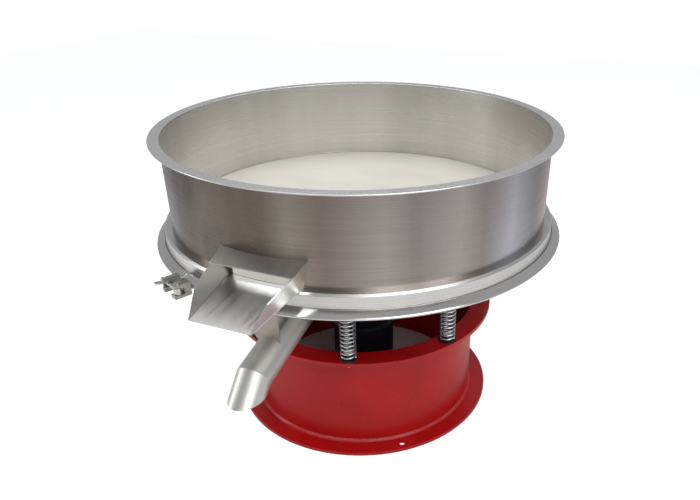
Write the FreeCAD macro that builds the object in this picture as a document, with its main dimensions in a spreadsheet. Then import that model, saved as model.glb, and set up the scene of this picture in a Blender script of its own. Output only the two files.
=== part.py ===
import FreeCAD, Part
import math
import os
import re
import Sketcher
from FreeCAD import Placement, Rotation, Vector

# A round vibrating sieve, in millimetres.  +Z is up, the origin is on the machine's axis at floor level
# and both outlets point along -Y.  Every size below is a cell of the "Dimensions" sheet; the functions
# that follow build one sub-part each and take their sizes from that sheet by name.

DIMENSIONS = [
    # base
    ("base_height", 300, "floor to the top of the base"),
    ("spring_circle_r", 350, "radius of the spring circle"),
    ("flange_edge", 25, "spring circle to the edge of both base flanges"),
    ("base_flange_r", "=spring_circle_r + flange_edge", "outer radius of both base flanges"),
    ("drum_inset", 24, "spring circle to the base drum"),
    ("drum_r", "=spring_circle_r - drum_inset", "outer radius of the base drum"),
    ("drum_wall", 4, "sheet of the base drum"),
    ("floor_flange_lap", 20, "floor flange inside the drum"),
    ("floor_flange_bore", "=drum_r - floor_flange_lap", "bore radius of the floor flange"),
    ("flange_plate", 10, "plate of both base flanges"),
    ("anchor_offset", 3, "anchor circle outside the spring circle"),
    ("anchor_circle_r", "=spring_circle_r + anchor_offset", "radius of the anchor hole circle"),
    ("anchor_hole_r", 9, "anchor hole radius"),
    ("anchor_count", 4, "anchor holes"),
    ("anchor_phase", 41.3, "turn of the anchor holes about Z, degrees"),
    # springs and their seats
    ("spring_count", 8, "isolation springs"),
    ("spring_phase", 18.8, "turn of the springs about Z, degrees"),
    ("spring_mean_r", 18.25, "coil radius at the middle of the wire"),
    ("spring_wire", 4.8, "width of the spring wire"),
    ("spring_pitch", 11.8, "coil to coil"),
    ("spring_height", 130, "height of a spring under load"),
    ("seat_edge", 4.25, "seat outside the middle of the spring wire"),
    ("seat_r", "=spring_mean_r + seat_edge", "radius of a spring seat"),
    ("seat_plate", 4, "thickness of a spring seat"),
    ("coil_fit", 2.35, "boss clear of the coil's inside"),
    ("seat_boss_r", "=spring_mean_r - spring_wire / 2 - coil_fit", "boss inside the coil"),
    ("seat_boss_rise", 10, "height of that boss"),
    ("stud_r", 6, "radius of the seat bolts"),
    ("stud_fit", 0.3, "radial clearance of the seat bolts in their holes"),
    ("thread_fit", 0.05, "radial clearance between a bolt and its nut"),
    ("stud_head_half", 9.5, "half the width across the flats of an M12 hexagon"),
    ("stud_head_rise", 7.5, "height of a bolt head"),
    ("nut_rise", 10, "height of a nut"),
    ("stud_end", 4, "bolt standing out of its nut"),
    # vibrating table
    ("table_inset", 32, "table ring inside the spring circle"),
    ("table_inner_r", "=spring_circle_r - table_inset", "inner radius of the table ring"),
    ("table_overhang", 36, "table ring outside the spring circle"),
    ("table_outer_r", "=spring_circle_r + table_overhang", "outer radius of the table ring"),
    ("table_plate", 10, "plate of the table ring"),
    ("seat_top", "=base_height + seat_plate", "foot of the springs"),
    ("spring_top", "=seat_top + spring_height", "top of the springs"),
    ("table_foot", "=spring_top + seat_plate", "underside of the table ring"),
    ("table_top", "=table_foot + table_plate", "top of the table ring and foot of the pan"),
    ("notch_side", 6, "clearance beside the spout in the table ring"),
    ("well_r", 154, "outer radius of the motor well"),
    ("well_wall", 4, "sheet of the motor well"),
    ("well_depth", 158, "table top to the motor plate's underside"),
    ("well_foot", "=table_top - well_depth", "height of the motor plate's underside"),
    ("pan_clearance", 3, "ribs and well below the pan"),
    ("motor_plate", 10, "motor plate"),
    ("motor_plate_bore", 45, "bore radius of the motor plate"),
    ("rib_plate", 8, "thickness of a rib"),
    ("rib_depth", 40, "depth of a rib"),
    # collecting pan
    ("gutter_out", 16, "gutter outside the table ring"),
    ("gutter_r", "=table_outer_r + gutter_out", "outer radius of the pan's gutter"),
    ("dome_inset", 8, "dome's foot inside the table ring"),
    ("dome_foot_r", "=table_inner_r - dome_inset", "radius where the dome starts"),
    ("dome_top_r", 60, "radius of the dome's flat top"),
    ("dome_rise", 26, "rise of the dome"),
    ("pan_sheet", 3, "sheet of the pan, measured upright"),
    ("pan_depth", 82, "table top to the middle of the clamped joint"),
    # clamped joint between pan and upper frame
    ("wall_r", 500, "outer radius of the sieve wall"),
    ("joint_height", "=table_top + pan_depth", "middle of the clamped joint"),
    ("lip_offset", 22, "sieve wall to the start of a lip"),
    ("lip_foot_r", "=wall_r + lip_offset", "radius where a lip starts"),
    ("lip_width", 16, "width of both lips"),
    ("lip_r", "=lip_foot_r + lip_width", "outer radius of both lips"),
    ("lip_gap", 3, "gap between the lips at their edges"),
    ("lip_sheet", 2.5, "sheet of a lip"),
    ("lip_slope", 0.4375, "rise of a lip per unit of radius"),
    ("lip_top_low", "=joint_height - lip_gap / 2", "edge of the lower lip"),
    ("lip_top_high", "=joint_height + lip_gap / 2", "edge of the upper lip"),
    ("clamp_lap", 7, "clamp ring outside the lips"),
    ("clamp_nose_r", "=lip_r + clamp_lap", "outer radius of the clamp ring"),
    ("clamp_foot_gap", 2, "clamp ring's edge outside the start of the lips"),
    ("clamp_foot_r", "=lip_foot_r + clamp_foot_gap", "inner radius of the clamp ring"),
    ("clamp_sheet", 2.8, "sheet of the clamp ring"),
    ("clamp_gap", 1.6, "opening between the ends of the clamp ring, degrees"),
    # upper frame
    ("skirt_height", 46, "middle of the joint to the ledge"),
    ("ledge_height", "=joint_height + skirt_height", "height of the ledge under the wall"),
    ("wall_height", 224, "ledge to the rim"),
    ("top_height", "=ledge_height + wall_height", "floor to the rim"),
    ("rim_width", 26, "rim outside the sieve wall"),
    ("rim_outer_r", "=wall_r + rim_width", "outer radius of the rim"),
    ("rim_plate", 3, "plate of the rim"),
    ("wall_sheet", 2, "sheet of the sieve wall"),
    ("ledge_width", 14, "ledge outside the sieve wall"),
    ("ledge_r", "=wall_r + ledge_width", "radius where the ledge turns down"),
    ("bend_width", 5.5, "run of the bend from ledge to skirt"),
    ("bend_drop", 5, "fall of that bend"),
    ("skirt_r", "=ledge_r + bend_width", "outer radius of the skirt at its top"),
    ("skirt_top", "=ledge_height - bend_drop", "height where the skirt starts"),
    ("skirt_sheet", 2.5, "sheet of ledge and skirt"),
    # screen
    ("screen_inset", 1, "screen frame inside the sieve wall's outside"),
    ("screen_bore", "=wall_r - screen_inset", "inner radius of the screen frame"),
    ("screen_leg", 3, "leg of the screen frame's channel"),
    ("screen_flange_gap", 8, "clamped screen flange inside the edge of the lips"),
    ("screen_flange_r", "=lip_r - screen_flange_gap", "outer radius of the clamped screen flange"),
    ("screen_top_gap", 2.5, "mesh flange inside the ledge's edge"),
    ("screen_top_r", "=ledge_r - screen_top_gap", "outer radius of the flange under the mesh"),
    ("mesh_drop", 4, "underside of the mesh below the ledge"),
    ("mesh_plane", "=ledge_height - mesh_drop", "underside of the mesh"),
    ("mesh_sheet", 1, "thickness of the mesh and its adhesive"),
    # oversize chute
    ("chute_sheet", 2.5, "sheet of the chute"),
    ("chute_floor_top", "=ledge_height + chute_sheet", "height of the chute floor at the wall"),
    ("chute_root_half", 90, "half width of the chute floor at the wall"),
    ("chute_lip_half", 72, "half width at the lip"),
    ("chute_length", 169, "sieve wall to the lip"),
    ("chute_reach", "=wall_r + chute_length", "axis to the lip"),
    ("fold_out", 36, "sieve wall to the fold across the floor"),
    ("fold_drop", 3, "fall of the floor as far as the fold"),
    ("lip_drop", 18.5, "fall of the floor as far as the lip"),
    ("chute_fold", "=wall_r + fold_out", "axis to the fold across the floor"),
    ("chute_fold_top", "=chute_floor_top - fold_drop", "height of the chute floor at the fold"),
    ("chute_lip_top", "=chute_floor_top - lip_drop", "height of the chute floor at the lip"),
    ("floor_flat", 1, "level floor beyond the ledge"),
    ("chute_lean", 13, "outward lean of the side walls, degrees"),
    ("cheek_gap", 0.3, "weld gap under the side walls"),
    ("cheek_lip_rise", 3, "height of the side walls at the lip"),
    ("cheek_knee_reach", 121, "sieve wall to the knee, along the side wall"),
    ("cover_rise", 61.5, "chute floor to the cover plate at the wall"),
    ("cover_root_top", "=chute_floor_top + cover_rise", "height of the cover plate at the wall"),
    ("cover_length", 46, "sieve wall to the cover plate's free edge"),
    ("cover_reach", "=wall_r + cover_length", "axis to the cover plate's free edge"),
    ("cover_slope", 0.262, "fall of the cover plate per unit of reach"),
    ("cover_root_half", 108, "half width of the cover plate at the wall"),
    ("cover_edge_half", 101, "half width at its free edge"),
    ("gate_rise", 49.5, "height of the opening in the sieve wall"),
    ("gate_top", "=chute_floor_top + gate_rise", "top of the opening in the sieve wall"),
    ("gate_half", 84, "half width of that opening"),
    # undersize spout
    ("spout_r", 40, "outer radius of the spout"),
    ("spout_sheet", 2, "sheet of the spout"),
    ("spout_slope", 14.1, "fall of the upper run, degrees"),
    ("spout_drop", 46.9, "fall of the lower run, degrees"),
    ("spout_inset", 14, "closed inner end outside the dome's foot"),
    ("spout_start", "=dome_foot_r + spout_inset", "axis to the closed inner end"),
    ("elbow_out", 76, "sieve wall to the mitre"),
    ("elbow_reach", "=wall_r + elbow_out", "axis to the mitre"),
    ("elbow_drop", 71, "table top to the mitre"),
    ("elbow_height", "=table_top - elbow_drop", "height of the mitre"),
    ("outlet_drop", 32.2, "mitre to the level outlet"),
    ("spout_foot", "=elbow_height - outlet_drop", "height of the level outlet"),
    ("spout_tail", 60, "length of the lower run before the level cut"),
    ("cap_sheet", 3, "plate of the spout's end cap"),
    ("hanger_out", 3, "hanger plate's front outside the sieve wall"),
    ("hanger_reach", "=wall_r + hanger_out", "axis to the hanger plate's front"),
    ("hanger_sheet", 3, "hanger plate"),
    ("hanger_half", 28, "half width of the hanger plate at the spout"),
    ("hanger_wing", 44, "half width of its flared side"),
    ("hanger_neck_rise", 28, "spout's axis to the start of the flare"),
    ("hanger_wing_rise", 50, "spout's axis to the end of the flare"),
    # motor
    ("stator_r", 90, "outer radius of the motor housing"),
    ("stator_wall", 8, "wall of the motor housing"),
    ("neck_length", 85, "motor plate to the foot of the upper end shield"),
    ("shield_foot", "=well_foot - neck_length", "height of the upper end shield"),
    ("housing_length", 93, "length of the motor housing"),
    ("stator_foot", "=shield_foot - housing_length", "height of the housing's underside"),
    ("shield_rim", 5, "upper end shield outside the housing"),
    ("shield_r", "=stator_r + shield_rim", "outer radius of the upper end shield"),
    ("shield_rise", 19, "height of the shield's shoulder"),
    ("shield_top", "=shield_foot + shield_rise", "top of the shield's shoulder"),
    ("shield_web", 6, "web of the lower end shield"),
    ("neck_r", 58, "outer radius of the shield's neck"),
    ("neck_wall", 14, "wall of the shield's neck"),
    ("motor_flange_edge", 22, "bolt circle to the edge of the motor flange"),
    ("motor_bolt_circle", 98, "radius of the motor bolt circle"),
    ("motor_flange_r", "=motor_bolt_circle + motor_flange_edge", "radius of the motor flange"),
    ("motor_flange_plate", 14, "thickness of the motor flange"),
    ("motor_bolt_count", 6, "motor bolts"),
    ("shaft_r", 17.5, "radius of the motor shaft"),
    ("shaft_room", 4, "radial room round the shaft in both shields"),
    ("shaft_tail", 70, "shaft below the housing"),
    ("shaft_foot", "=stator_foot - shaft_tail", "lower end of the shaft"),
    ("rotor_r", 51, "radius of the rotor core"),
    ("air_gap", 1, "gap between rotor and stator"),
    ("core_inset", 14, "housing's foot to the cores"),
    ("core_foot", "=stator_foot + core_inset", "lower end of the cores"),
    ("core_length", 66, "length of the cores"),
    ("core_top", "=core_foot + core_length", "upper end of the cores"),
    ("bearing_r", 36, "outer radius of the bearings"),
    ("bearing_width", 18, "width of the bearings"),
    ("running_fit", 0.05, "radial clearance of a turning fit"),
    ("weight_r", 104, "outer radius of the upper weight"),
    ("lower_weight_r", 84, "outer radius of the lower weights"),
    ("weight_hub_r", 30, "hub radius of the weights"),
    ("upper_weight_rise", 22, "motor plate to the upper weight"),
    ("upper_weight_foot", "=well_foot + motor_plate + upper_weight_rise", "foot of the upper weight"),
    ("upper_weight_depth", 36, "thickness of the upper weight"),
    ("shaft_head", 8, "shaft above the upper weight"),
    ("shaft_top", "=upper_weight_foot + upper_weight_depth + shaft_head", "upper end of the shaft"),
    ("lower_weight_drop", 42, "housing to the foot of the fixed lower weight"),
    ("lower_weight_foot", "=stator_foot - lower_weight_drop", "height of the fixed lower weight"),
    ("lower_weight_depth", 24, "thickness of each lower weight"),
    ("weight_gap", 0.6, "gap between the two lower weights"),
    ("gland_r", 11, "radius of the cable gland"),
    ("gland_bore", 5, "radius of the cable's way through the gland"),
    ("gland_length", 22, "gland standing out of the housing"),
    ("gland_rise", 50, "gland above the housing's foot"),
    # clamp closure, drawn along +X and turned to its place
    ("closure_phase", 245.3, "direction of the closure about Z, degrees"),
    ("closure_out", 27, "clamp ring to the closure bolt"),
    ("closure_r", "=clamp_nose_r + closure_out", "axis to the closure bolt"),
    ("closure_bolt_r", 5, "radius of the closure bolt"),
    ("pivot_side", 31, "bolt pivot beside the middle of the gap"),
    ("pivot_pin_r", 4.5, "radius of the pivot pin"),
    ("pin_head", 2.5, "height and overhang of the pin's head"),
    ("eye_r", 9.5, "radius of the bolt's eye"),
    ("eye_rise", 15, "height of the bolt's eye"),
    ("fork_face", 21, "fork's bearing face beside the middle of the gap"),
    ("fork_back", 8.5, "back of the fork"),
    ("fork_slot", 6, "half height of the slot in the fork"),
    ("lug_rise", 33, "height of the lugs"),
    ("lug_half", 10, "half width of the pivot lug"),
    ("lug_edge", 13, "closure bolt to the outer edge of the lugs"),
    ("lug_out", "=closure_r + lug_edge", "axis to the outer edge of the lugs"),
    ("ear_plate", 8, "ears that hold the pivot pin"),
    ("washer_plate", 2, "washer under the wing nut"),
    ("washer_r", 11, "radius of that washer"),
    ("nut_face_gap", 0.3, "gap between the washer and the fork"),
    ("wing_hub_r", 9, "hub radius of the wing nut"),
    ("wing_hub_length", 12, "length of the wing nut's hub"),
    ("wing_reach", 23, "axis to the tip of a wing"),
    ("wing_plate", 4, "thickness of a wing"),
    ("bolt_tail", 47, "end of the closure bolt beside the middle of the gap"),
]

DOC = FreeCAD.newDocument("VibratingSieve")
SHEET = DOC.addObject("Spreadsheet::Sheet", "Dimensions")
NAMES = {alias for alias, _, _ in DIMENSIONS}
NODES = []


def fill_sheet():
    """Write each size, its alias and its meaning on a row of its own."""
    for row, (alias, size, meaning) in enumerate(DIMENSIONS, start=1):
        SHEET.set("A%d" % row, str(size))
        SHEET.setAlias("A%d" % row, alias)
        SHEET.set("B%d" % row, meaning)
    DOC.recompute()


def full(formula):
    """Put the sheet's name before every size that a formula names."""
    def with_sheet(word):
        return "Dimensions." + word.group() if word.group() in NAMES else word.group()
    return re.sub(r"[a-z][a-z_]*", with_sheet, str(formula))


def value(formula):
    """The number that a formula stands for now."""
    result = SHEET.evalExpression(full(formula))
    return float(getattr(result, "Value", result))


def bind(thing, prop, formula):
    """Tie a property to the sheet."""
    thing.setExpression(prop, full(formula))


def new_body(label, turn=None):
    """An empty body that becomes one exported node; turn is its angle about Z."""
    body = DOC.addObject("PartDesign::Body", "Body_" + label)
    body.Label = label
    if turn is not None:
        body.Placement = Placement(Vector(), Rotation(Vector(0, 0, 1), value(turn)))
        bind(body, "Placement.Rotation.Angle", turn)
    NODES.append(body)
    return body


def plane_of(body, role):
    return next(f for f in body.Origin.OriginFeatures if f.Role == role)


def new_sketch(body, role, lift="0"):
    """A sketch on one of the body's own planes, lifted along that plane's normal."""
    sketch = body.newObject("Sketcher::SketchObject", "Sketch")
    sketch.AttachmentSupport = (plane_of(body, role), "")
    sketch.MapMode = "FlatFace"
    sketch.AttachmentOffset = Placement(Vector(0, 0, value(lift)), Rotation())
    bind(sketch, "AttachmentOffset.Base.z", lift)
    return sketch


def pin_down(sketch, edge, end, across, up):
    """Hold one end of an edge at a place that two formulas give."""
    for kind, formula, axis in (("DistanceX", across, -2), ("DistanceY", up, -1)):
        size = value(formula)
        if formula == "0":
            sketch.addConstraint(Sketcher.Constraint("PointOnObject", edge, end, axis))
            continue
        number = sketch.addConstraint(Sketcher.Constraint(kind, -1, 1, edge, end, size))
        bind(sketch, "Constraints[%d]" % number, formula)


def outline(sketch, corners):
    """A closed outline through corners, each given by two formulas."""
    places = [Vector(value(a), value(b), 0) for a, b in corners]
    first = sketch.GeometryCount
    for here, there in zip(places, places[1:] + places[:1]):
        sketch.addGeometry(Part.LineSegment(here, there), False)
    for step, (across, up) in enumerate(corners):
        following = first + (step + 1) % len(corners)
        sketch.addConstraint(Sketcher.Constraint("Coincident", first + step, 2, following, 1))
        pin_down(sketch, first + step, 1, across, up)


def circle(sketch, radius, across="0", up="0"):
    """A circle of a given radius and centre."""
    centre = Vector(value(across), value(up), 0)
    edge = sketch.addGeometry(Part.Circle(centre, Vector(0, 0, 1), value(radius)), False)
    pin_down(sketch, edge, 3, across, up)
    number = sketch.addConstraint(Sketcher.Constraint("Radius", edge, value(radius)))
    bind(sketch, "Constraints[%d]" % number, radius)


def hexagon(sketch, half_flats, across="0", up="0"):
    """A hexagon drawn by its half width across the flats."""
    corners = []
    for step in range(6):
        angle = "%d deg" % (60 * step + 30)
        corners.append(("%s + %s / cos(30 deg) * cos(%s)" % (across, half_flats, angle),
                        "%s + %s / cos(30 deg) * sin(%s)" % (up, half_flats, angle)))
    outline(sketch, corners)


def solid(body, kind, sketch, length, both=False, reverse=False):
    """Pad or pocket a sketch by a length, on one side or evenly on both."""
    feature = body.newObject("PartDesign::" + kind, kind)
    feature.Profile = sketch
    feature.Length = value(length)
    bind(feature, "Length", length)
    feature.Reversed = reverse
    if both:
        feature.SideType = "Symmetric"
    sketch.Visibility = False
    body.Tip = feature
    return feature


def turned(body, corners, kind="Revolution"):
    """Turn a half section, given by radius and height, about Z."""
    sketch = new_sketch(body, "XZ_Plane")
    outline(sketch, corners)
    feature = body.newObject("PartDesign::" + kind, kind)
    feature.Profile = sketch
    feature.ReferenceAxis = (sketch, ["V_Axis"])
    feature.Angle = 360
    body.Tip = feature
    return feature


def disc(body, radius, foot, top, across="0", up="0", kind="Pad"):
    """A round boss, or a round hole when kind is Pocket, between two heights."""
    sketch = new_sketch(body, "XY_Plane", foot)
    circle(sketch, radius, across, up)
    return solid(body, kind, sketch, "(%s) - (%s)" % (top, foot), reverse=(kind == "Pocket"))


def hex_disc(body, half_flats, foot, top, across="0", up="0"):
    """A hexagonal head or nut between two heights."""
    sketch = new_sketch(body, "XY_Plane", foot)
    hexagon(sketch, half_flats, across, up)
    return solid(body, "Pad", sketch, "(%s) - (%s)" % (top, foot))


def around(body, features, count):
    """Repeat features evenly about Z."""
    pattern = body.newObject("PartDesign::PolarPattern", "Ring")
    pattern.Originals = features
    pattern.Axis = (plane_of(body, "Z_Axis"), [""])
    pattern.Angle = 360
    pattern.Occurrences = int(value(count))
    bind(pattern, "Occurrences", count)
    body.Tip = pattern
    return pattern


def tube(body, outer, inner, foot, top):
    """A plain ring between two radii and two heights."""
    return turned(body, [(inner, foot), (outer, foot), (outer, top), (inner, top)])


# ---------------------------------------------------------------- base

def base():
    """Rolled drum between a floor flange and a spring flange."""
    drum = new_body("base_drum")
    tube(drum, "drum_r", "drum_r - drum_wall", "flange_plate", "base_height - flange_plate")

    floor = new_body("base_floor_flange", "anchor_phase")
    tube(floor, "base_flange_r", "floor_flange_bore", "0", "flange_plate")
    hole = disc(floor, "anchor_hole_r", "0", "flange_plate", "anchor_circle_r", kind="Pocket")
    around(floor, [hole], "anchor_count")

    top = new_body("base_spring_flange", "spring_phase")
    tube(top, "base_flange_r", "drum_r - drum_wall", "base_height - flange_plate", "base_height")
    hole = disc(top, "stud_r + stud_fit", "base_height - flange_plate", "base_height",
                "spring_circle_r", kind="Pocket")
    around(top, [hole], "spring_count")


# ---------------------------------------------------------------- springs



def seat_set(label, foot, boss_end, through_foot, through_top):
    """One cup per spring: a plate with a boss inside the coil and a bolt hole."""
    body = new_body(label, "spring_phase")
    plate = disc(body, "seat_r", foot, "%s + seat_plate" % foot, "spring_circle_r")
    low, high = sorted([foot, boss_end], key=value)
    boss = disc(body, "seat_boss_r", low, high, "spring_circle_r")
    hole = disc(body, "stud_r + stud_fit", through_foot, through_top, "spring_circle_r", kind="Pocket")
    around(body, [plate, boss, hole], "spring_count")


def bolt_set(label, head_foot, shank_foot, shank_top):
    """A hexagon bolt per spring seat, head inside the coil."""
    body = new_body(label, "spring_phase")
    head = hex_disc(body, "stud_head_half", head_foot, "%s + stud_head_rise" % head_foot, "spring_circle_r")
    shank = disc(body, "stud_r", shank_foot, shank_top, "spring_circle_r")
    around(body, [head, shank], "spring_count")


def nut_set(label, foot):
    """A hexagon nut per bolt."""
    body = new_body(label, "spring_phase")
    nut = hex_disc(body, "stud_head_half", foot, "%s + nut_rise" % foot, "spring_circle_r")
    bore = disc(body, "stud_r + thread_fit", foot, "%s + nut_rise" % foot, "spring_circle_r", kind="Pocket")
    around(body, [nut, bore], "spring_count")


def spring_mounts():
    """Seats, bolts and nuts at both ends of the springs."""
    seat_set("spring_seats_lower", "base_height", "seat_top + seat_boss_rise",
             "base_height", "seat_top + seat_boss_rise")
    seat_set("spring_seats_upper", "spring_top", "spring_top - seat_boss_rise",
             "spring_top - seat_boss_rise", "table_foot")
    head = "seat_top + seat_boss_rise"
    nut = "base_height - flange_plate - nut_rise"
    bolt_set("seat_bolts_lower", head, nut + " - stud_end", head)
    nut_set("seat_nuts_lower", nut)
    head = "spring_top - seat_boss_rise - stud_head_rise"
    bolt_set("seat_bolts_upper", head, "spring_top - seat_boss_rise", "table_top")


def springs():
    """One coil of square-cornered runs per seat, its ends ground flat."""
    runs = 8
    pitch = value("spring_pitch")
    mean = value("spring_mean_r")
    half = value("spring_wire") / 2
    height = value("spring_height")
    turns = math.ceil(height / pitch) + 1
    places = []
    for step in range(turns * runs + 1):
        angle = 2 * math.pi * step / runs
        places.append(Vector(mean * math.cos(angle), mean * math.sin(angle), pitch * (step / runs - 0.5)))
    along = (places[1] - places[0]).normalize()
    side = along.cross(Vector(1, 0, 0)).normalize()
    out = side.cross(along)
    signs = ((-1, -1), (1, -1), (1, 1), (-1, 1))
    corners = [places[0] + out * (half * i) + side * (half * j) for i, j in signs]
    section = Part.makePolygon(corners + corners[:1])
    coil = Part.makePolygon(places).makePipeShell([section], True, False, 1)
    coil = coil.common(Part.makeCylinder(mean + 4 * half, height))
    foot = value("seat_top")
    count = int(value("spring_count"))
    for index in range(count):
        turn = value("spring_phase") + 360.0 * index / count
        spring = DOC.addObject("Part::Feature", "Spring%d" % (index + 1))
        spring.Label = "spring_%d" % (index + 1)
        spring.Shape = coil
        reach = value("spring_circle_r")
        place = Vector(reach * math.cos(math.radians(turn)), reach * math.sin(math.radians(turn)), foot)
        spring.Placement = Placement(place, Rotation(Vector(0, 0, 1), turn))
        NODES.append(spring)


# ---------------------------------------------------------------- vibrating table

def table():
    """Ring on the springs, motor well in the middle and ribs between them."""
    ring = new_body("table_ring", "spring_phase")
    tube(ring, "table_outer_r", "table_inner_r", "table_foot", "table_top")
    hole = disc(ring, "stud_r + stud_fit", "table_foot", "table_top", "spring_circle_r", kind="Pocket")
    around(ring, [hole], "spring_count")
    notch = new_sketch(ring, "XY_Plane", "table_top")
    turn = "(270 deg - spring_phase * 1 deg)"
    corners = []
    near, far, half = "table_inner_r - 20", "table_outer_r + 20", "(spout_r + notch_side)"
    for reach, side in ((near, "-" + half), (far, "-" + half), (far, half), (near, half)):
        corners.append(("(%s) * cos(%s) - (%s) * sin(%s)" % (reach, turn, side, turn),
                        "(%s) * sin(%s) + (%s) * cos(%s)" % (reach, turn, side, turn)))
    outline(notch, corners)
    solid(ring, "Pocket", notch, "table_plate")

    well = new_body("motor_well")
    tube(well, "well_r", "well_r - well_wall", "well_foot", "table_top - pan_clearance")

    plate = new_body("motor_plate")
    tube(plate, "well_r - well_wall", "motor_plate_bore", "well_foot", "well_foot + motor_plate")
    hole = disc(plate, "stud_r + stud_fit", "well_foot", "well_foot + motor_plate",
                "motor_bolt_circle", kind="Pocket")
    around(plate, [hole], "motor_bolt_count")

    ribs = new_body("table_ribs", "spring_phase")
    sketch = new_sketch(ribs, "XZ_Plane")
    outline(sketch, [("well_r", "table_top - pan_clearance - rib_depth"), ("table_inner_r", "table_foot"),
                     ("table_inner_r", "table_top - pan_clearance"), ("well_r", "table_top - pan_clearance")])
    rib = solid(ribs, "Pad", sketch, "rib_plate", both=True)
    around(ribs, [rib], "spring_count")


# ---------------------------------------------------------------- pan and spout

LIP_RUN = "(lip_r - lip_foot_r) * lip_slope"


def spout_axis(reach):
    """Height of the upper run's axis at a distance from the machine's axis."""
    return "elbow_height + (elbow_reach - (%s)) * tan(spout_slope * 1 deg)" % reach


def tilted_cylinder(body, kind, radius, reach, length):
    """A cylinder along the spout's upper run, starting at a given reach."""
    part = body.newObject("PartDesign::%sCylinder" % kind, kind)
    part.AttachmentSupport = (plane_of(body, "XY_Plane"), "")
    part.MapMode = "FlatFace"
    place = Vector(0, -value(reach), value(spout_axis(reach)))
    part.AttachmentOffset = Placement(place, Rotation(Vector(1, 0, 0), 90 + value("spout_slope")))
    bind(part, "AttachmentOffset.Base.y", "-(%s)" % reach)
    bind(part, "AttachmentOffset.Base.z", spout_axis(reach))
    bind(part, "AttachmentOffset.Rotation.Angle", "90 + spout_slope")
    bind(part, "Radius", radius)
    bind(part, "Height", length)
    body.Tip = part
    return part


def pan():
    """Spun collecting pan: dome, gutter, cone and clamped lip in one sheet."""
    body = new_body("collecting_pan")
    gutter_floor = "table_top + pan_sheet"
    turned(body, [
        ("0", "table_top + dome_rise"),
        ("dome_top_r", "table_top + dome_rise"),
        ("dome_foot_r", "table_top"),
        ("gutter_r", "table_top"),
        ("lip_foot_r", "lip_top_low - lip_sheet - " + LIP_RUN),
        ("lip_r", "lip_top_low - lip_sheet"),
        ("lip_r", "lip_top_low"),
        ("lip_foot_r - lip_sheet", "lip_top_low - (lip_r - lip_foot_r + lip_sheet) * lip_slope"),
        ("gutter_r - 1", gutter_floor),
        ("dome_foot_r", gutter_floor),
        ("dome_top_r", gutter_floor + " + dome_rise"),
        ("0", gutter_floor + " + dome_rise"),
    ])
    tilted_cylinder(body, "Subtractive", "spout_r - spout_sheet", "spout_start", "120")


def under_pan_trim(body):
    """Cut away whatever stands above the pan's underside."""
    turned(body, [
        ("0", "table_top + dome_rise"),
        ("dome_top_r", "table_top + dome_rise"),
        ("dome_foot_r", "table_top"),
        ("gutter_r", "table_top"),
        ("lip_foot_r", "lip_top_low - lip_sheet - " + LIP_RUN),
        ("lip_foot_r", "top_height"),
        ("0", "top_height"),
    ], kind="Groove")


def spout():
    """Mitred round spout whose crown is cut to the pan, its end cap and its hanger plate."""
    body = new_body("undersize_spout")
    path = new_sketch(body, "YZ_Plane")
    start = "spout_start - cap_sheet"
    places = [("-(%s)" % start, spout_axis(start)),
              ("-elbow_reach", "elbow_height"),
              ("-(elbow_reach + spout_tail * cos(spout_drop * 1 deg))",
               "elbow_height - spout_tail * sin(spout_drop * 1 deg)")]
    points = [Vector(value(a), value(b), 0) for a, b in places]
    path.addGeometry(Part.LineSegment(points[0], points[1]), False)
    path.addGeometry(Part.LineSegment(points[1], points[2]), False)
    path.addConstraint(Sketcher.Constraint("Coincident", 0, 2, 1, 1))
    pin_down(path, 0, 1, *places[0])
    pin_down(path, 0, 2, *places[1])
    pin_down(path, 1, 2, *places[2])
    DOC.recompute()
    for kind, radius in (("AdditivePipe", "spout_r"), ("SubtractivePipe", "spout_r - spout_sheet")):
        section = body.newObject("Sketcher::SketchObject", "Section")
        section.AttachmentSupport = (path, "Edge1")
        section.MapMode = "NormalToEdge"
        circle(section, radius)
        sweep = body.newObject("PartDesign::" + kind, kind)
        sweep.Profile = section
        sweep.Spine = (path, ["Edge1", "Edge2"])
        sweep.Transition = "Right corner"
        body.Tip = sweep
    below = new_sketch(body, "YZ_Plane")
    outline(below, [("-elbow_reach - 200", "spout_foot - 100"), ("-elbow_reach + 100", "spout_foot - 100"),
                    ("-elbow_reach + 100", "spout_foot"), ("-elbow_reach - 200", "spout_foot")])
    solid(body, "Pocket", below, "4 * spout_r", both=True)
    under_pan_trim(body)

    cap = new_body("spout_end_cap")
    tilted_cylinder(cap, "Additive", "spout_r - spout_sheet", start, "cap_sheet")
    under_pan_trim(cap)

    hanger = new_body("spout_hanger_plate")
    sketch = new_sketch(hanger, "XZ_Plane", "hanger_reach")
    top = "joint_height - 17"
    crown = spout_axis("hanger_reach")
    outline(sketch, [("-hanger_half", crown), ("hanger_half", crown), ("hanger_half", top),
                     ("-hanger_wing", top), ("-hanger_wing", crown + " + hanger_wing_rise"),
                     ("-hanger_half", crown + " + hanger_neck_rise")])
    solid(hanger, "Pad", sketch, "hanger_sheet", reverse=True)
    tilted_cylinder(hanger, "Subtractive", "spout_r", "spout_start", "400")
    under_pan_trim(hanger)


# ---------------------------------------------------------------- clamped joint and upper frame

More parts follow.
